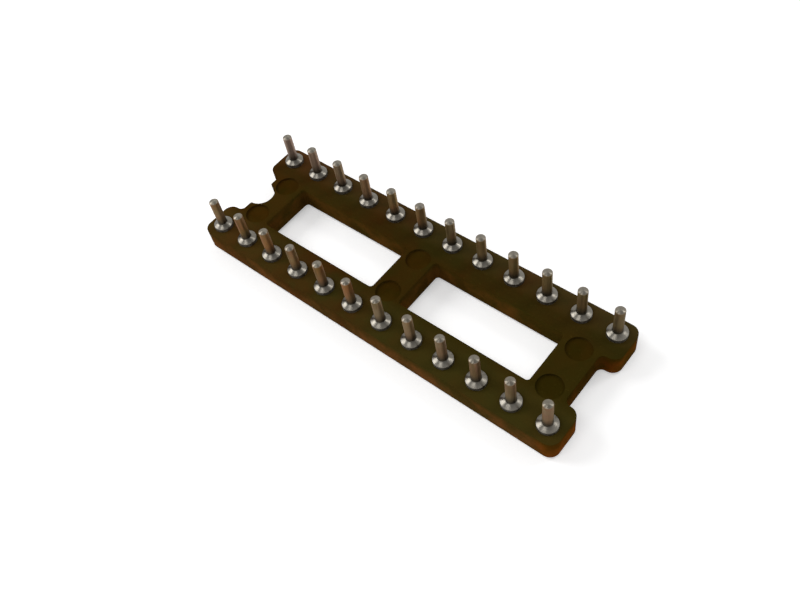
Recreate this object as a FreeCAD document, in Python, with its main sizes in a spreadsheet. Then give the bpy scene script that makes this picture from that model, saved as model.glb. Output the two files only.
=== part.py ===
import FreeCAD, Part
import os
import re
import Sketcher

# Open-frame dual-in-line IC socket with turned contacts: 24 ways in two rows.
# It lies as on a bench, contact heads down and solder tails up.
# Origin: middle of the plane the contact heads rest on. +X runs along the rows, +Z to the tail tips.

OUT_DIR = "parts"
WAYS_PER_ROW = 12
VOLUME_STEP = 0.001

# Formulas that several pieces share
ROW_HALF_LENGTH = f"contact_pitch * {(WAYS_PER_ROW - 1) / 2}"
RAIL_END_X = f"({ROW_HALF_LENGTH} + rail_end_margin)"
RAIL_OUTER_Y = "(row_spacing / 2 + rail_side_margin)"
RAIL_INNER_Y = f"({RAIL_OUTER_Y} - rail_width)"
BAR_OUTER_X = f"({RAIL_END_X} - end_bar_setback)"
BAR_INNER_X = f"({BAR_OUTER_X} - end_bar_width)"

# Driving dimensions in millimetres
SIZES = [
    ("contact_pitch", 2.54, "between neighbouring contacts of a row"),
    ("row_spacing", 7.62, "between the two rows"),
    ("rail_end_margin", 1.13, "last contact's axis to the end of a rail"),
    ("rail_side_margin", 1.11, "contact axis to the outer wall of its rail"),
    ("rail_width", 2.89, "outer wall to inner wall of a rail"),
    ("frame_thickness", 1.6, "thickness of the moulding"),
    ("end_bar_setback", 1.18, "end of the rails to the face of an end bar"),
    ("end_bar_width", 2.5, "end bar, along the rails"),
    ("middle_bar_width", 2.3, "bar between the two windows"),
    ("notch_radius", 1.05, "orientation notch in the left end bar"),
    ("rail_corner_radius", 0.7, "rounding of the rail ends"),
    ("bar_fillet_radius", 0.4, "fillets where end bars meet rails"),
    ("window_fillet_radius", 0.25, "fillets in the window corners"),
    ("mark_radius", 0.88, "round ejector marks on the tail side"),
    ("mark_depth", 0.16, "depth of the ejector marks"),
    ("mark_offset", 1.6, "centre line to the middle of an ejector mark"),
    ("head_radius", 0.915, "flange of a sleeve, on the IC side"),
    ("head_height", 0.3, "thickness of the flange"),
    ("body_radius", 0.685, "body of a sleeve, pressed in the moulding"),
    ("collar_height", 0.27, "straight part of the collar above the moulding"),
    ("bevel_height", 0.17, "bevel from the collar to the tail"),
    ("tail_radius", 0.33, "solder tail"),
    ("tail_height", 2.6, "tail tip above the moulding"),
    ("entry_radius", 0.62, "mouth of the lead-in funnel"),
    ("entry_depth", 0.2, "depth of the lead-in funnel"),
    ("socket_radius", 0.44, "drilled hole of a sleeve"),
    ("socket_depth", 1.98, "head face to the floor of the drilled hole"),
    ("clip_recess", 0.24, "head face to the near edge of the clip"),
    ("clip_end_clearance", 0.14, "finger tips to the floor of the drilled hole"),
    ("clip_wall", 0.07, "strip thickness of the clip"),
    ("ring_height", 0.42, "closed ring of the clip"),
    ("finger_width", 0.3, "width of a clip finger"),
    ("finger_gap", 0.22, "axis to the inner face of a finger tip"),
]

doc = FreeCAD.newDocument("ic_socket")


def add_sizes():
    """Put the driving dimensions in a sheet, one alias each."""
    sheet = doc.addObject("Spreadsheet::Sheet", "Sizes")
    for row, (alias, value, note) in enumerate(SIZES, start=1):
        sheet.set(f"A{row}", alias)
        sheet.set(f"B{row}", str(value))
        sheet.set(f"C{row}", note)
        sheet.setAlias(f"B{row}", alias)
    doc.recompute()
    return sheet


def formula(text):
    """Turn a formula in size names, such as row_spacing / 2, into one that reads the sheet."""
    return re.sub(r"[a-z]+(_[a-z]+)+", r"<<Sizes>>.\g<0>", text)


def new_body(label):
    body = doc.addObject("PartDesign::Body", label)
    body.Label = label
    return body


def new_sketch(body, name, role, lift=None):
    """A sketch on one of the body's origin planes, raised along its normal by a formula."""
    sketch = body.newObject("Sketcher::SketchObject", name)
    plane = next(item for item in body.Origin.OriginFeatures if item.Role == role)
    sketch.AttachmentSupport = [(plane, "")]
    sketch.MapMode = "FlatFace"
    if lift:
        sketch.setExpression("AttachmentOffset.Base.z", formula(lift))
    doc.recompute()
    return sketch


def place_point(sketch, geometry, point, formulas):
    """Hold one point of a sketch at the place that two formulas give."""
    for kind, axis, text in (("DistanceX", -2, formulas[0]), ("DistanceY", -1, formulas[1])):
        if text == "0":
            sketch.addConstraint(Sketcher.Constraint("PointOnObject", geometry, point, axis))
        else:
            value = float(sketch.evalExpression(formula(text)))
            index = sketch.addConstraint(Sketcher.Constraint(kind, -1, 1, geometry, point, value))
            sketch.setExpression(f"Constraints[{index}]", formula(text))


def spot(sketch, formulas):
    """The present place of a point that two formulas give."""
    values = [float(sketch.evalExpression(formula(text))) for text in formulas]
    return FreeCAD.Vector(values[0], values[1], 0)


def draw_outline(sketch, corners):
    """A closed outline of straight edges through corners, each a pair of formulas."""
    spots = [spot(sketch, corner) for corner in corners]
    edges = []
    for here, there in zip(spots, spots[1:] + spots[:1]):
        edges.append(sketch.addGeometry(Part.LineSegment(here, there), False))
    for edge, following in zip(edges, edges[1:] + edges[:1]):
        sketch.addConstraint(Sketcher.Constraint("Coincident", edge, 2, following, 1))
    for edge, corner in zip(edges, corners):
        place_point(sketch, edge, 1, corner)


def draw_circle(sketch, centre, radius):
    normal = FreeCAD.Vector(0, 0, 1)
    size = float(sketch.evalExpression(formula(radius)))
    circle = sketch.addGeometry(Part.Circle(spot(sketch, centre), normal, size), False)
    place_point(sketch, circle, 3, centre)
    index = sketch.addConstraint(Sketcher.Constraint("Radius", circle, size))
    sketch.setExpression(f"Constraints[{index}]", formula(radius))


def add_pad(body, sketch, name, height):
    pad = body.newObject("PartDesign::Pad", name)
    pad.Profile = sketch
    pad.setExpression("Length", formula(height))
    doc.recompute()
    return pad


def add_pocket(body, sketch, name, depth=None, downwards=False):
    """Cut a sketch's outlines: through everything above it, or to a depth below it."""
    before = body.Shape.Volume
    pocket = body.newObject("PartDesign::Pocket", name)
    pocket.Profile = sketch
    pocket.Reversed = not downwards
    if depth:
        pocket.setExpression("Length", formula(depth))
    else:
        pocket.Type = "ThroughAll"
    doc.recompute()
    if before - body.Shape.Volume < VOLUME_STEP:
        raise RuntimeError(f"{name} removed nothing from {body.Label}")
    return pocket


def add_fillet(body, base, name, corners, radius):
    """Round the upright edges that stand on the given corners."""
    places = [spot(body, corner) for corner in corners]
    names = []
    for index, edge in enumerate(base.Shape.Edges, start=1):
        ends = [vertex.Point for vertex in edge.Vertexes]
        upright = len(ends) == 2 and abs(ends[0].x - ends[1].x) + abs(ends[0].y - ends[1].y) < 1e-6
        if upright and any(abs(ends[0].x - p.x) + abs(ends[0].y - p.y) < 1e-6 for p in places):
            names.append(f"Edge{index}")
    if len(names) != len(corners):
        raise RuntimeError(f"{name} found {len(names)} of {len(corners)} edges")
    fillet = body.newObject("PartDesign::Fillet", name)
    fillet.Base = (base, names)
    fillet.setExpression("Radius", formula(radius))
    doc.recompute()
    return fillet


def mirrored(x_formulas, y_formula):
    """Corners at each x and its opposite, above and below the centre line."""
    signs = ("", "-")
    return [(f"{sx}{x}", f"{sy}{y_formula}") for x in x_formulas for sx in signs for sy in signs]


def make_frame():
    """The moulded carrier: two rails, two recessed end bars and a middle bar round two windows."""
    body = new_body("insulator_frame")
    body.setExpression("Placement.Base.z", formula("head_height"))

    tip_x, tip_y = RAIL_END_X, RAIL_OUTER_Y
    bar_x, rail_y = BAR_OUTER_X, RAIL_INNER_Y
    outline = new_sketch(body, "frame_outline", "XY_Plane")
    draw_outline(outline, [
        ("-" + tip_x, "-" + tip_y),
        (tip_x, "-" + tip_y),
        (tip_x, "-" + rail_y),
        (bar_x, "-" + rail_y),
        (bar_x, rail_y),
        (tip_x, rail_y),
        (tip_x, tip_y),
        ("-" + tip_x, tip_y),
        ("-" + tip_x, rail_y),
        ("-" + bar_x, rail_y),
        ("-" + bar_x, "-" + rail_y),
        ("-" + tip_x, "-" + rail_y),
    ])
    slab = add_pad(body, outline, "frame_slab", "frame_thickness")

    near_x, far_x = "middle_bar_width / 2", BAR_INNER_X
    windows = new_sketch(body, "window_outlines", "XY_Plane")
    for sign in ("", "-"):
        draw_outline(windows, [
            (sign + near_x, "-" + rail_y),
            (sign + far_x, "-" + rail_y),
            (sign + far_x, rail_y),
            (sign + near_x, rail_y),
        ])
    opened = add_pocket(body, windows, "windows")

    ends = add_fillet(
        body, opened, "rail_end_rounding",
        mirrored([tip_x], tip_y) + mirrored([tip_x], rail_y), "rail_corner_radius")
    bars = add_fillet(body, ends, "bar_fillets", mirrored([bar_x], rail_y), "bar_fillet_radius")
    add_fillet(
        body, bars, "window_fillets",
        mirrored([near_x, far_x], rail_y), "window_fillet_radius")

    notch = new_sketch(body, "notch_outline", "XY_Plane")
    draw_circle(notch, ("-" + bar_x, "0"), "notch_radius")
    add_pocket(body, notch, "orientation_notch")

    marks = new_sketch(body, "ejector_mark_outlines", "XY_Plane", "frame_thickness")
    end_x = f"({BAR_INNER_X} + {BAR_OUTER_X}) / 2"
    for x in ("0", end_x, "-" + end_x):
        for y in ("mark_offset", "-mark_offset"):
            draw_circle(marks, (x, y), "mark_radius")
    add_pocket(body, marks, "ejector_marks", "mark_depth", downwards=True)

    first = new_sketch(body, "first_contact_hole", "XY_Plane")
    draw_circle(first, (f"-{ROW_HALF_LENGTH}", "-row_spacing / 2"), "body_radius")
    hole = add_pocket(body, first, "contact_hole")
    add_hole_grid(body, hole, first)
    return body


def add_hole_grid(body, hole, sketch):
    """Repeat the first contact hole along its row and across to the other row."""
    before = body.Shape.Volume
    grid = body.newObject("PartDesign::MultiTransform", "contact_holes")
    grid.Originals = [hole]
    along = body.newObject("PartDesign::LinearPattern", "along_the_row")
    along.Direction = (sketch, ["H_Axis"])
    along.setExpression("Length", formula(f"contact_pitch * {WAYS_PER_ROW - 1}"))
    along.Occurrences = WAYS_PER_ROW
    across = body.newObject("PartDesign::LinearPattern", "across_the_rows")
    across.Direction = (sketch, ["V_Axis"])
    across.setExpression("Length", formula("row_spacing"))
    across.Occurrences = 2
    grid.Transformations = [along, across]
    body.Tip = grid
    doc.recompute()
    if before - body.Shape.Volume < VOLUME_STEP:
        raise RuntimeError("the contact holes were not repeated")


def place_on_contact(body, row, column, height):
    """Stand a body on the axis of one contact, at a height given by a formula."""
    steps = column - (WAYS_PER_ROW - 1) / 2
    body.setExpression("Placement.Base.x", formula(f"contact_pitch * {steps}"))
    body.setExpression("Placement.Base.y", formula(f"row_spacing * {row - 0.5}"))
    body.setExpression("Placement.Base.z", formula(height))


def make_sleeve(label, row, column):
    """A turned sleeve: funnel and drilled hole below, flange, pressed body, collar and solid tail."""
    body = new_body(label)
    collar_top = "head_height + frame_thickness + collar_height"
    tip_top = "head_height + frame_thickness + tail_height"
    profile = new_sketch(body, "turned_profile", "XZ_Plane")
    draw_outline(profile, [
        ("entry_radius", "0"),
        ("head_radius", "0"),
        ("head_radius", "head_height"),
        ("body_radius", "head_height"),
        ("body_radius", collar_top),
        ("tail_radius", collar_top + " + bevel_height"),
        ("tail_radius", tip_top),
        ("0", tip_top),
        ("0", "socket_depth"),
        ("socket_radius", "socket_depth"),
        ("socket_radius", "entry_depth"),
    ])
    turned = body.newObject("PartDesign::Revolution", "turned_sleeve")
    turned.Profile = profile
    turned.ReferenceAxis = (profile, ["V_Axis"])
    turned.Angle = 360
    place_on_contact(body, row, column, "0 mm")
    doc.recompute()
    return body


def make_clip(label, row, column):
    """The spring clip inside a sleeve: a strip bent to an eight-sided ring, with four fingers."""
    body = new_body(label)
    flat_x = "socket_radius * cos(22.5 deg)"
    clip_length = "(socket_depth - clip_recess - clip_end_clearance)"
    ring = new_sketch(body, "ring_outline", "XY_Plane")
    for corner_radius in ("socket_radius", "(socket_radius - clip_wall / cos(22.5 deg))"):
        draw_outline(ring, [
            (f"{corner_radius} * cos({turn} deg)", f"{corner_radius} * sin({turn} deg)")
            for turn in (22.5 + 45 * step for step in range(8))
        ])
    add_pad(body, ring, "ring", "ring_height")

    finger_sketch = new_sketch(body, "finger_profile", "XZ_Plane")
    draw_outline(finger_sketch, [
        (flat_x, "ring_height"),
        ("finger_gap + clip_wall", clip_length),
        ("finger_gap", clip_length),
        (flat_x + " - clip_wall", "ring_height"),
    ])
    finger = body.newObject("PartDesign::Pad", "finger")
    finger.Profile = finger_sketch
    finger.Midplane = True
    finger.setExpression("Length", formula("finger_width"))
    doc.recompute()

    fingers = body.newObject("PartDesign::PolarPattern", "fingers")
    fingers.Originals = [finger]
    fingers.Axis = (ring, ["N_Axis"])
    fingers.Angle = 360
    fingers.Occurrences = 4
    body.Tip = fingers
    place_on_contact(body, row, column, "clip_recess")
    doc.recompute()
    return body


def contact_places():
    """Contact numbers with row and column, counted as seen from the tails."""
    for row in (0, 1):
        for column in range(WAYS_PER_ROW):
            yield row * WAYS_PER_ROW + column + 1, row, column


def check_document(bodies):
    """Stop on a feature that failed or a piece that is not one good solid."""
    for item in doc.Objects:
        if "Invalid" in item.State or "Error" in item.State:
            raise RuntimeError(f"{item.Label} failed: {item.State}")
    for body in bodies:
        shape = body.Shape
        if shape.isNull() or not shape.isValid() or len(shape.Solids) != 1:
            raise RuntimeError(f"{body.Label} is not one valid solid")


def main():
    add_sizes()
    bodies = [make_frame()]
    for number, row, column in contact_places():
        bodies.append(make_sleeve(f"sleeve_{number:02d}", row, column))
        bodies.append(make_clip(f"contact_clip_{number:02d}", row, column))
    doc.recompute()
    check_document(bodies)
    os.makedirs(OUT_DIR, exist_ok=True)
    for body in bodies:
        body.Shape.exportStep(os.path.join(OUT_DIR, body.Label + ".step"))


main()
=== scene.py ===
import math

import bmesh
import bpy
from mathutils import Matrix, Vector


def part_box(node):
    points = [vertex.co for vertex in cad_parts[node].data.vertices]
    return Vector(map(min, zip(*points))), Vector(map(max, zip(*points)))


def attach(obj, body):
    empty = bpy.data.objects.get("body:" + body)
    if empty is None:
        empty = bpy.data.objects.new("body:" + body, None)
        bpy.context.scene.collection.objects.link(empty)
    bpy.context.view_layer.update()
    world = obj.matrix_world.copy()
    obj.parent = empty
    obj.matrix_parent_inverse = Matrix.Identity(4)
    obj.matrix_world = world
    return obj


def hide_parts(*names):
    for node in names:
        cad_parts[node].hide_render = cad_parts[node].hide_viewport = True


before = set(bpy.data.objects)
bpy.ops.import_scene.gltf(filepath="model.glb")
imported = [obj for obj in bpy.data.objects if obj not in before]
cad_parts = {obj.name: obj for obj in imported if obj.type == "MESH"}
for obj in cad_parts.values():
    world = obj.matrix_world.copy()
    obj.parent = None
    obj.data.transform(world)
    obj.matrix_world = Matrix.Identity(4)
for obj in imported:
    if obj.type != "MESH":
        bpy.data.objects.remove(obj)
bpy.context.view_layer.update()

MM = 0.001
WAYS = 24

# Heights and radii of the contact in millimetres, counted from the plane that the heads rest on
MOULDING_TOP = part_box("insulator_frame")[1].z / MM
TAIL_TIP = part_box("sleeve_01")[1].z / MM
HEAD_RADIUS = (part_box("sleeve_01")[1].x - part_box("sleeve_01")[0].x) / 2 / MM
HEAD_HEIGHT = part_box("insulator_frame")[0].z / MM
BODY_RADIUS = 0.685
COLLAR_EDGE = MOULDING_TOP + 0.27
TAIL_BASE = COLLAR_EDGE + 0.17
TAIL_RADIUS = 0.33
TIP_DOME = 0.065
BEVEL_CROWN = 0.012
FUNNEL_RADIUS = 0.62
FUNNEL_DEPTH = 0.2
BORE_RADIUS = 0.44
BORE_FLOOR = 1.98

# The notch in the end bar and the edges of the moulding, in millimetres
END_BAR_SETBACK = 1.18
NOTCH_RADIUS = 1.05
NOTCH_CORNER = 0.12
CORNER_REACH = 0.02
EDGE_RADIUS = 0.06

# The spring clip, in millimetres
CLIP_RADIUS = BORE_RADIUS - 0.004
CLIP_TOP = 0.24
CLIP_RING_END = 0.66
CLIP_END = 1.84
CLIP_WALL = 0.07
FINGER_ROOT = CLIP_RING_END - 0.01
FINGER_GAP = 0.22
FINGER_WIDTH = 0.3
FINGER_FLARE = 0.02

# Share of a finger's length at which it is narrowest
FINGER_PINCH = 0.85

# Fineness of the meshes
LATHE_STEPS = 64
ARC_STEPS = 4
FINGERS = 4
FINGER_ROWS = 10
FINGER_COLUMNS = 4

# Tints of the moulding's surfaces, which multiply its cloudy tone; the far rail's, the mark floors', the
# window walls' and the low walls' tints are painted shade and light
BARS = (0.92, 0.82, 0.88)
RAILS = (1.24, 1.21, 1.80)
# Painted shade on the far rail next to the windows, turning into painted light towards its outer edge
FAR_RAIL_INSIDE_PAINTED_SHADE = (0.72, 0.68, 0.60)
FAR_RAIL_OUTSIDE_PAINTED_LIGHT = (1.25, 1.12, 1.70)
# Painted shade on the sunk floors of the ejector marks
MARK_FLOORS_PAINTED_SHADE = (0.80, 0.80, 0.55)
# Painted light on the walls of the windows
WINDOW_WALLS_PAINTED_LIGHT = (1.42, 1.55, 1.55)
# Painted light from the table on the low outer walls
LOW_WALLS_PAINTED_LIGHT = (1.38, 1.27, 1.44)
PLAIN_END = (1.26, 0.90, 0.46)

# Photograph's camera: place in millimetres, and degrees of turn from +Y, of tilt down and of roll
CAMERA_PLACE = (25.572, -22.368, 44.982)
CAMERA_TURN = 49.830
CAMERA_TILT = 53.424
CAMERA_ROLL = -12.872
FOCAL_PIXELS = 814.69
PHOTO_WIDTH = 800
SENSOR_WIDTH = 36

# Lamps: direction from the part, width over distance, and radiance
LAMP_DISTANCE = 1.5
LAMPS = [
    ("lamp_left", (-0.74, -0.25, 0.63), 0.54, 5.6),
    ("lamp_above", (-0.09, -0.39, 0.92), 0.42, 3.6),
    ("lamp_behind", (0.31, 0.59, 0.75), 0.30, 6.2),
]
AMBIENT = 0.40

# The table, in metres, and its own glow, which makes it white where it is seen
TABLE_HALF = 0.6
TABLE_DROP = 0.00001
TABLE_COLOR = 0.86
TABLE_GLOW = 0.40

# Mirrored surroundings: a white backdrop that ends in a grey ceiling, by the sine of the height
BACKDROP_END = 0.70
CEILING_START = 0.97
CEILING = 0.40


def new_material(name):
    """A node material, with its node tree and its principled shader."""
    material = bpy.data.materials.new(name)
    material.use_nodes = True
    tree = material.node_tree
    return material, tree, tree.nodes["Principled BSDF"]


def add_node(tree, kind, **inputs):
    """A node of a kind, with some of its inputs set by name."""
    node = tree.nodes.new(kind)
    for name, value in inputs.items():
        node.inputs[name].default_value = value
    return node


def position(tree):
    """The place in the part's frame, in metres."""
    return tree.nodes.new("ShaderNodeTexCoord").outputs["Object"]


def split(tree, vector):
    """The X, Y and Z of a vector."""
    node = tree.nodes.new("ShaderNodeSeparateXYZ")
    tree.links.new(vector, node.inputs["Vector"])
    return node.outputs["X"], node.outputs["Y"], node.outputs["Z"]


def noise(tree, place, per_mm, detail=3.0, roughness=0.55):
    """Noise with a given number of features per millimetre."""
    node = add_node(tree, "ShaderNodeTexNoise", Scale=per_mm / MM, Detail=detail, Roughness=roughness)
    tree.links.new(place, node.inputs["Vector"])
    return node.outputs["Fac"]


def ramp(tree, source, stops):
    """A colour ramp with the given (place, colour) stops."""
    node = tree.nodes.new("ShaderNodeValToRGB")
    elements = node.color_ramp.elements
    while len(elements) < len(stops):
        elements.new(0.5)
    for element, (place, color) in zip(elements, stops):
        element.position = place
        element.color = (*color, 1.0)
    tree.links.new(source, node.inputs["Fac"])
    return node.outputs["Color"]


def remap(tree, source, low, high, new_low, new_high):
    """A value between low and high, moved to between new_low and new_high, and held at those ends."""
    node = add_node(tree, "ShaderNodeMapRange")
    for name, value in (("From Min", low), ("From Max", high), ("To Min", new_low), ("To Max", new_high)):
        node.inputs[name].default_value = value
    tree.links.new(source, node.inputs["Value"])
    return node.outputs["Result"]


def fade(tree, coordinate, start, end, strength=1.0):
    """A mask that grows from 0 at start to its strength at end, two places in millimetres."""
    return remap(tree, coordinate, start * MM, end * MM, 0.0, strength)


def math_node(tree, operation, *values):
    """One arithmetic step; each value is a number or another node's output."""
    node = tree.nodes.new("ShaderNodeMath")
    node.operation = operation
    for socket, value in zip(node.inputs, values):
        if isinstance(value, bpy.types.NodeSocket):
            tree.links.new(value, socket)
        else:
            socket.default_value = value
    return node.outputs[0]


def mix_colors(tree, factor, first, second, blend="MIX"):
    """A blend of two colours; each value is a number, a colour or another node's output."""
    node = tree.nodes.new("ShaderNodeMix")
    node.data_type = "RGBA"
    node.blend_type = blend
    for socket, value in ((node.inputs[0], factor), (node.inputs[6], first), (node.inputs[7], second)):
        if isinstance(value, bpy.types.NodeSocket):
            tree.links.new(value, socket)
        elif isinstance(value, tuple):
            socket.default_value = (*value, 1.0)
        else:
            socket.default_value = value
    return node.outputs[2]


def add_bump(tree, shader, height, distance_mm, before=None):
    """Relief of a given depth; before is an earlier bump that this one rides on."""
    node = add_node(tree, "ShaderNodeBump", Distance=distance_mm * MM)
    tree.links.new(height, node.inputs["Height"])
    if before is not None:
        tree.links.new(before, node.inputs["Normal"])
    tree.links.new(node.outputs["Normal"], shader.inputs["Normal"])
    return node.outputs["Normal"]


def moulding_tone(tree, place):
    """Cloudy olive brown, warmer towards the notched end and lighter and more olive towards the plain end,
    which is partly painted light, with rusty patches on the walls.
    """
    along, _, height = split(tree, place)
    tone = ramp(tree, noise(tree, place, 0.22, detail=4.0), [
        (0.34, (0.052, 0.0215, 0.0030)),
        (0.48, (0.042, 0.0235, 0.0030)),
        (0.62, (0.037, 0.0275, 0.0035)),
    ])
    # Lighter and more olive towards the plain end: partly tone, partly painted light
    tone = mix_colors(tree, fade(tree, along, -5, 15, 0.6), tone, (0.040, 0.030, 0.0035))
    tone = mix_colors(tree, fade(tree, along, -3, -15, 0.55), tone, (0.066, 0.030, 0.0045))
    mottle = remap(tree, noise(tree, place, 0.8, detail=2.0), 0.42, 0.66, 0.0, 0.4)
    tone = mix_colors(tree, mottle, tone, (0.030, 0.029, 0.0035))
    wall = fade(tree, height, MOULDING_TOP, MOULDING_TOP - 0.5)
    patches = remap(tree, noise(tree, place, 0.45), 0.42, 0.62, 0.05, 0.75)
    return mix_colors(tree, math_node(tree, "MULTIPLY", wall, patches), tone, (0.110, 0.044, 0.007))


def moulding_tints(tree, place, tone):
    """The tone with the tint of each surface: bars and rails, painted shade and light across the far rail,
    painted shade on the mark floors, painted light on the window walls and on the low outer walls, and the
    plain end's outer walls.
    """
    along, across, height = split(tree, place)
    endways = math_node(tree, "ABSOLUTE", along)
    sideways = math_node(tree, "ABSOLUTE", across)
    normal = tree.nodes.new("ShaderNodeNewGeometry").outputs["Normal"]
    # 1 where the surface faces up, 0 on walls
    level = remap(tree, split(tree, normal)[2], 0.8, 0.95, 0.0, 1.0)
    upright = math_node(tree, "SUBTRACT", 1.0, level)

    rails = mix_colors(tree, fade(tree, sideways, 2.0, 2.7), BARS, RAILS)
    # The far rail: painted shade next to the windows, painted light towards its outer edge
    far_rail = math_node(tree, "MULTIPLY", level, fade(tree, across, 2.0, 2.6))
    far_rail_painted_gradient = mix_colors(tree, fade(tree, across, 3.0, 4.3), FAR_RAIL_INSIDE_PAINTED_SHADE, FAR_RAIL_OUTSIDE_PAINTED_LIGHT)
    # Painted shade on the sunk floors of the marks
    sunk = fade(tree, height, MOULDING_TOP - 0.05, MOULDING_TOP - 0.12)
    mark_floor_painted_shade = math_node(tree, "MULTIPLY", level, sunk)
    # The windows' walls get painted light
    between_rails = fade(tree, sideways, 2.10, 2.06)
    window = math_node(tree, "MULTIPLY", between_rails, fade(tree, endways, 11.9, 11.6))
    window_wall = math_node(tree, "MULTIPLY", window, upright)
    outer_wall = math_node(tree, "SUBTRACT", upright, window_wall)
    # The lower parts of the outer walls get painted light, as if bounced from the table
    low_wall_painted_light = math_node(tree, "MULTIPLY", outer_wall, fade(tree, height, 1.4, 0.8))
    plain_end = math_node(tree, "MULTIPLY", outer_wall, fade(tree, along, 13.5, 14.5))

    for mask, tint in (
        (1.0, rails),
        (far_rail, far_rail_painted_gradient),
        (mark_floor_painted_shade, MARK_FLOORS_PAINTED_SHADE),
        (window_wall, WINDOW_WALLS_PAINTED_LIGHT),
        (low_wall_painted_light, LOW_WALLS_PAINTED_LIGHT),
        (plain_end, PLAIN_END),
    ):
        tone = mix_colors(tree, mask, tone, tint, blend="MULTIPLY")
    return tone


def moulding_material():
    """Dark olive-brown glass-filled plastic: cloudy tone, fibre flecks, fine moulded grain."""
    material, tree, shader = new_material("moulded_plastic")
    place = position(tree)
    tone = moulding_tints(tree, place, moulding_tone(tree, place))
    flecks = remap(tree, noise(tree, place, 7.0, detail=2.0), 0.60, 0.78, 0.0, 0.25)
    color = mix_colors(tree, flecks, tone, (0.075, 0.055, 0.010))
    tree.links.new(color, shader.inputs["Base Color"])
    gloss = remap(tree, noise(tree, place, 1.6), 0.3, 0.7, 0.40, 0.58)
    tree.links.new(gloss, shader.inputs["Roughness"])
    shader.inputs["Specular IOR Level"].default_value = 0.0
    grain = add_bump(tree, shader, noise(tree, place, 14.0, detail=2.0), 0.004)
    add_bump(tree, shader, noise(tree, place, 0.9, detail=2.0), 0.02, before=grain)
    return material


def tail_color(tree, place):
    """Brown that is partly tarnish and partly a painted reflection of the brown moulding, with grey areas
    and dark vertical streaks that are painted reflections, in the far row from greyer to darker along it.
    """
    along, across, _ = split(tree, place)
    # The brown is partly tarnish and partly a painted reflection of the brown moulding
    brown = ramp(tree, noise(tree, place, 0.6, detail=5.0), [
        (0.34, (0.225, 0.096, 0.036)),
        (0.48, (0.215, 0.112, 0.040)),
        (0.62, (0.215, 0.142, 0.056)),
    ])
    grey = remap(tree, noise(tree, place, 0.13), 0.40, 0.60, 0.0, 0.40)
    brown = mix_colors(tree, grey, brown, (0.155, 0.130, 0.105))
    # Dark vertical streaks: painted reflections of dark surroundings
    stretched = add_node(tree, "ShaderNodeMapping", Scale=(1.0, 1.0, 0.12))
    tree.links.new(place, stretched.inputs["Vector"])
    painted_reflection_streaks = remap(tree, noise(tree, stretched.outputs["Vector"], 1.8), 0.45, 0.62, 0.0, 0.55)
    dark = (0.070, 0.054, 0.014)
    brown = mix_colors(tree, painted_reflection_streaks, brown, dark)
    far_row = fade(tree, across, -1, 1)
    greyer = math_node(tree, "MULTIPLY", far_row, fade(tree, along, -5, -14, 0.7))
    brown = mix_colors(tree, greyer, brown, (0.30, 0.22, 0.18))
    darker = math_node(tree, "MULTIPLY", far_row, fade(tree, along, 3, 10, 0.5))
    return mix_colors(tree, darker, brown, dark)


def sleeve_material():
    """Turned brass with dull tin plating: grey collar, painted shade at the root of the tail, browner tail
    partly with painted reflections, pale tip, turning marks.
    """
    material, tree, shader = new_material("plated_brass")
    place = position(tree)
    height = split(tree, place)[2]
    # Painted shade where the tail rises from the collar
    root = fade(tree, height, TAIL_BASE - 0.04, TAIL_BASE + 0.02)
    tail = fade(tree, height, TAIL_BASE, TAIL_BASE + 0.8)
    tip = fade(tree, height, TAIL_TIP - 0.09, TAIL_TIP - 0.04)
    color = mix_colors(tree, noise(tree, place, 2.5), (0.152, 0.140, 0.118), (0.222, 0.206, 0.178))
    color = mix_colors(tree, root, color, (0.045, 0.040, 0.030))
    color = mix_colors(tree, tail, color, tail_color(tree, place))
    color = mix_colors(tree, tip, color, (0.215, 0.195, 0.160))
    tree.links.new(color, shader.inputs["Base Color"])

    metal = remap(tree, height, (TAIL_BASE + 0.1) * MM, (TAIL_BASE + 0.4) * MM, 1.0, 0.7)
    tree.links.new(math_node(tree, "MAXIMUM", metal, tip), shader.inputs["Metallic"])
    shader.inputs["Specular IOR Level"].default_value = 0.0
    shaft = math_node(tree, "MULTIPLY_ADD", tip, -0.8, tail)
    gloss = remap(tree, noise(tree, place, 3.5), 0.3, 0.7, 0.27, 0.36)
    tree.links.new(math_node(tree, "MULTIPLY_ADD", shaft, 0.10, gloss), shader.inputs["Roughness"])
    turning = add_node(tree, "ShaderNodeTexWave", Scale=14.0 / MM, Distortion=1.5, Detail=2.0)
    turning.bands_direction = "Z"
    tree.links.new(place, turning.inputs["Vector"])
    marks = add_bump(tree, shader, turning.outputs["Fac"], 0.0004)
    add_bump(tree, shader, noise(tree, place, 4.0, detail=2.0), 0.0006, before=marks)
    shader.inputs["Anisotropic"].default_value = 0.85
    shader.inputs["Anisotropic Rotation"].default_value = 0.25
    return material


def clip_material():
    """Gold-flashed spring strip with faint waves and duller patches."""
    material, tree, shader = new_material("gold_flashed_strip")
    place = position(tree)
    color = mix_colors(tree, noise(tree, place, 3.0), (0.78, 0.52, 0.16), (0.92, 0.70, 0.32))
    tree.links.new(color, shader.inputs["Base Color"])
    shader.inputs["Metallic"].default_value = 1.0
    gloss = remap(tree, noise(tree, place, 5.0), 0.3, 0.7, 0.22, 0.38)
    tree.links.new(gloss, shader.inputs["Roughness"])
    add_bump(tree, shader, noise(tree, place, 12.0, detail=2.0), 0.002)
    return material


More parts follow.
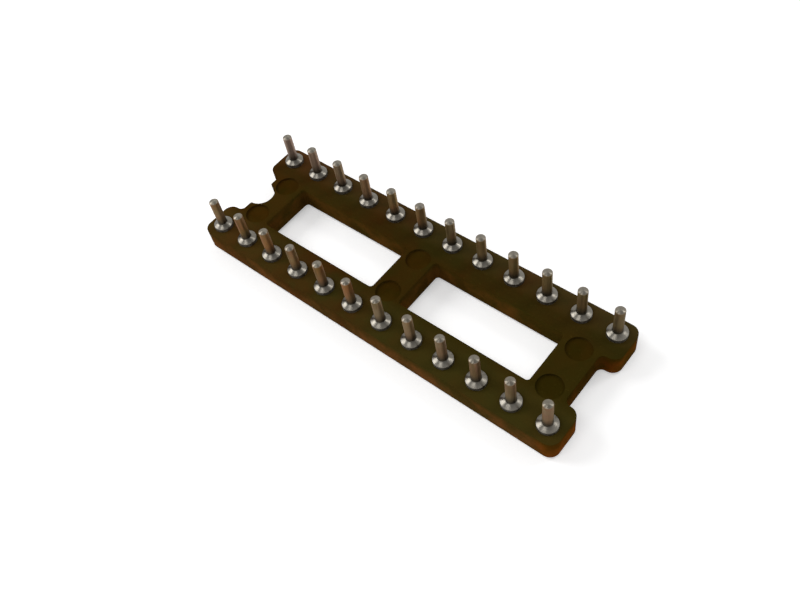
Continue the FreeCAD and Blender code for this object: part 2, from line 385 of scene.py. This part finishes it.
def rounded(corners):
    """A profile of (radius, height) points in which each corner (radius, height, rounding) is an arc."""
    points = []
    for index, (radius, height, rounding) in enumerate(corners):
        here = Vector((radius, height))
        if rounding == 0:
            points.append(here)
            continue
        before = (Vector(corners[index - 1][:2]) - here).normalized()
        after = (Vector(corners[index + 1][:2]) - here).normalized()
        half_angle = before.angle(after) / 2
        reach = rounding / math.tan(half_angle)
        centre = here + (before + after).normalized() * rounding / math.sin(half_angle)
        start = here + before * reach - centre
        end = here + after * reach - centre
        sweep = start.angle_signed(end)
        for step in range(ARC_STEPS + 1):
            turn = Matrix.Rotation(-sweep * step / ARC_STEPS, 2)
            points.append(centre + turn @ start)
    return points


def circle(radius):
    """Points evenly spaced round a circle."""
    angles = [2 * math.pi * step / LATHE_STEPS for step in range(LATHE_STEPS)]
    return [(radius * math.cos(angle), radius * math.sin(angle)) for angle in angles]


def join_rings(shape, low, high):
    """Faces between two rings, or between a ring and a single point."""
    for step in range(LATHE_STEPS):
        following = (step + 1) % LATHE_STEPS
        if len(low) == 1:
            shape.faces.new((low[0], high[step], high[following]))
        elif len(high) == 1:
            shape.faces.new((low[step], low[following], high[0]))
        else:
            shape.faces.new((low[step], low[following], high[following], high[step]))


def new_piece(name, shape, material):
    """A smooth object made from the shape, which is used up."""
    mesh = bpy.data.meshes.new(name)
    shape.to_mesh(mesh)
    shape.free()
    mesh.shade_smooth()
    mesh.materials.append(material)
    piece = bpy.data.objects.new(name, mesh)
    bpy.context.scene.collection.objects.link(piece)
    return piece


def axis_of(node):
    """The place of a contact's upright axis, in metres."""
    low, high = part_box(node)
    return Vector(((low.x + high.x) / 2, (low.y + high.y) / 2, 0.0))


def sleeve_profile():
    """From the floor of the drilled hole, round the head and up to the tip."""
    bevel_radius = (BODY_RADIUS + TAIL_RADIUS) / 2
    bevel_height = (COLLAR_EDGE + TAIL_BASE) / 2 + BEVEL_CROWN
    return rounded([
        (0.0, BORE_FLOOR, 0),
        (BORE_RADIUS, BORE_FLOOR, 0.04),
        (BORE_RADIUS, FUNNEL_DEPTH, 0.05),
        (FUNNEL_RADIUS, 0.0, 0.03),
        (HEAD_RADIUS, 0.0, 0.04),
        (HEAD_RADIUS, HEAD_HEIGHT, 0.03),
        (BODY_RADIUS, HEAD_HEIGHT, 0),
        (BODY_RADIUS, COLLAR_EDGE, 0.05),
        (bevel_radius, bevel_height, 0.6),
        (TAIL_RADIUS, TAIL_BASE, 0.06),
        (TAIL_RADIUS, TAIL_TIP - TIP_DOME, 0.05),
        (TAIL_RADIUS * 0.4, TAIL_TIP, 0.8),
        (0.0, TAIL_TIP, 0),
    ])


def make_sleeve(name, centre, material):
    """The sleeve's profile, turned about its axis into one closed mesh."""
    shape = bmesh.new()
    rings = []
    for radius, height in sleeve_profile():
        outline = [(0.0, 0.0)] if radius == 0 else circle(radius)
        rings.append([shape.verts.new(Vector((x, y, height)) * MM + centre) for x, y in outline])
    for low, high in zip(rings, rings[1:]):
        join_rings(shape, low, high)
    bmesh.ops.recalc_face_normals(shape, faces=shape.faces)
    piece = new_piece(name, shape, material)
    piece.data.set_sharp_from_angle(angle=math.radians(35))
    return piece


def add_finger(shape, turn):
    """One finger of the clip: it leans in, bowed like its ring, and flares out again at its tip."""
    rows = []
    for index in range(FINGER_ROWS + 1):
        along = index / FINGER_ROWS
        lean = math.sin(math.pi / 2 * min(1.0, along / FINGER_PINCH))
        flare = max(0.0, along - FINGER_PINCH) / (1 - FINGER_PINCH)
        radius = CLIP_RADIUS + (FINGER_GAP + CLIP_WALL - CLIP_RADIUS) * lean + FINGER_FLARE * flare
        height = FINGER_ROOT + (CLIP_END - FINGER_ROOT) * along
        row = []
        for column in range(FINGER_COLUMNS + 1):
            across = (column / FINGER_COLUMNS - 0.5) * FINGER_WIDTH
            out = math.sqrt(radius * radius - across * across)
            row.append(shape.verts.new(turn @ Vector((out, across, height))))
        rows.append(row)
    for low, high in zip(rows, rows[1:]):
        for column in range(FINGER_COLUMNS):
            shape.faces.new((low[column], low[column + 1], high[column + 1], high[column]))


def make_clip(name, centre, material):
    """A round strip ring with four fingers, as thick as the strip."""
    shape = bmesh.new()
    rings = []
    for height in (CLIP_TOP, CLIP_RING_END):
        rings.append([shape.verts.new((x, y, height)) for x, y in circle(CLIP_RADIUS)])
    join_rings(shape, *rings)
    for number in range(FINGERS):
        add_finger(shape, Matrix.Rotation(2 * math.pi * number / FINGERS, 3, "Z"))
    for vertex in shape.verts:
        vertex.co = vertex.co * MM + centre
    piece = new_piece(name, shape, material)
    wall = piece.modifiers.new("strip_wall", "SOLIDIFY")
    wall.thickness = CLIP_WALL * MM
    wall.offset = -1.0
    return piece


def make_contacts():
    """A turned sleeve and its spring clip at each of the ways."""
    plated_brass = sleeve_material()
    gold_flashed_strip = clip_material()
    for number in range(1, WAYS + 1):
        node = f"sleeve_{number:02d}"
        sleeve = make_sleeve(f"turned_sleeve_{number:02d}", axis_of(node), plated_brass)
        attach(sleeve, "root")
        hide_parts(node)
    for number in range(1, WAYS + 1):
        node = f"contact_clip_{number:02d}"
        clip = make_clip(f"spring_clip_{number:02d}", axis_of(node), gold_flashed_strip)
        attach(clip, "root")
        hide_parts(node)


def round_notch_corners(piece):
    """The two corners where the notch meets the end bar's face get a radius."""
    corners = piece.vertex_groups.new(name="notch_corners")
    end_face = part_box("insulator_frame")[0].x / MM + END_BAR_SETBACK
    for vertex in piece.data.vertices:
        place = piece.matrix_world @ vertex.co / MM
        if abs(place.x - end_face) < CORNER_REACH and abs(abs(place.y) - NOTCH_RADIUS) < CORNER_REACH:
            corners.add([vertex.index], 1.0, "REPLACE")
    rounding = piece.modifiers.new("notch_corners", "BEVEL")
    rounding.width = NOTCH_CORNER * MM
    rounding.segments = 4
    rounding.limit_method = "VGROUP"
    rounding.vertex_group = corners.name


def round_edges(piece):
    """All sharp edges get the small radius of a mould."""
    rounding = piece.modifiers.new("edge_radius", "BEVEL")
    rounding.width = EDGE_RADIUS * MM
    rounding.segments = 3
    rounding.limit_method = "ANGLE"
    rounding.angle_limit = math.radians(40)
    rounding.harden_normals = True


def finish_moulding():
    """The moulding keeps its own shape and gets its plastic, whole flat faces and rounded edges."""
    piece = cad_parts["insulator_frame"]
    piece.data.materials.clear()
    piece.data.materials.append(moulding_material())
    piece.data.shade_smooth()
    weld = piece.modifiers.new("join_faces", "WELD")
    weld.merge_threshold = 1e-7
    flat = piece.modifiers.new("plain_faces", "DECIMATE")
    flat.decimate_type = "DISSOLVE"
    flat.angle_limit = math.radians(1)
    round_notch_corners(piece)
    round_edges(piece)


def seen_directly(tree, strength):
    """A strength that counts for camera, mirror and see-through rays, and is 0 for others."""
    path = tree.nodes.new("ShaderNodeLightPath")
    seen = path.outputs["Is Camera Ray"]
    for name in ("Is Glossy Ray", "Is Transmission Ray"):
        seen = math_node(tree, "MAXIMUM", seen, path.outputs[name])
    return math_node(tree, "MULTIPLY", seen, strength)


def make_table():
    """A pale table that shows white to the camera and keeps the part's soft shadow."""
    mesh = bpy.data.meshes.new("table")
    corners = [(-1, -1), (1, -1), (1, 1), (-1, 1)]
    places = [(x * TABLE_HALF, y * TABLE_HALF, -TABLE_DROP) for x, y in corners]
    mesh.from_pydata(places, [], [(0, 1, 2, 3)])
    table = bpy.data.objects.new("table", mesh)
    bpy.context.scene.collection.objects.link(table)
    material, tree, shader = new_material("pale_table")
    shader.inputs["Base Color"].default_value = (TABLE_COLOR, TABLE_COLOR, TABLE_COLOR, 1)
    shader.inputs["Roughness"].default_value = 0.8
    shader.inputs["Specular IOR Level"].default_value = 0.0
    shader.inputs["Emission Color"].default_value = (1, 1, 1, 1)
    tree.links.new(seen_directly(tree, TABLE_GLOW), shader.inputs["Emission Strength"])
    mesh.materials.append(material)


def make_world():
    """White where it is seen, backdrop and ceiling where it is mirrored, and even light for the rest."""
    world = bpy.data.worlds.new("studio")
    bpy.context.scene.world = world
    world.use_nodes = True
    tree = world.node_tree
    background = tree.nodes["Background"]
    background.inputs["Color"].default_value = (1, 1, 1, 1)
    direction = tree.nodes.new("ShaderNodeTexCoord").outputs["Generated"]
    room = remap(tree, split(tree, direction)[2], BACKDROP_END, CEILING_START, 1.0, CEILING)
    path = tree.nodes.new("ShaderNodeLightPath")
    level = add_node(tree, "ShaderNodeMix", A=AMBIENT)
    tree.links.new(path.outputs["Is Glossy Ray"], level.inputs["Factor"])
    tree.links.new(room, level.inputs["B"])
    seen = math_node(tree, "MAXIMUM", path.outputs["Is Camera Ray"], path.outputs["Is Transmission Ray"])
    shown = add_node(tree, "ShaderNodeMix", B=1.0)
    tree.links.new(seen, shown.inputs["Factor"])
    tree.links.new(level.outputs["Result"], shown.inputs["A"])
    tree.links.new(shown.outputs["Result"], background.inputs["Strength"])


def make_lamps():
    """Round soft lamps that face the part."""
    for name, direction, width, radiance in LAMPS:
        light = bpy.data.lights.new(name, "AREA")
        light.shape = "DISK"
        light.size = width * LAMP_DISTANCE
        light.energy = radiance * math.pi * math.pi * (light.size / 2) ** 2
        lamp = bpy.data.objects.new(name, light)
        towards = Vector(direction).normalized()
        lamp.location = towards * LAMP_DISTANCE
        lamp.rotation_euler = towards.to_track_quat("Z", "Y").to_euler()
        bpy.context.scene.collection.objects.link(lamp)


def make_camera():
    """The photograph's camera; unturned, it would look level along +Y."""
    data = bpy.data.cameras.new("photo_view")
    data.sensor_width = SENSOR_WIDTH
    data.lens = FOCAL_PIXELS * SENSOR_WIDTH / PHOTO_WIDTH
    data.clip_start = 0.001
    data.clip_end = 10.0
    camera = bpy.data.objects.new("photo_view", data)
    turn = Matrix.Rotation(math.radians(CAMERA_TURN), 4, "Z")
    tilt = Matrix.Rotation(math.radians(90 - CAMERA_TILT), 4, "X")
    roll = Matrix.Rotation(math.radians(CAMERA_ROLL), 4, "Z")
    camera.matrix_world = Matrix.Translation(Vector(CAMERA_PLACE) * MM) @ turn @ tilt @ roll
    bpy.context.scene.collection.objects.link(camera)
    bpy.context.scene.camera = camera


bpy.context.scene.view_settings.view_transform = "Standard"
make_camera()
make_world()
make_lamps()
make_table()
finish_moulding()
make_contacts()
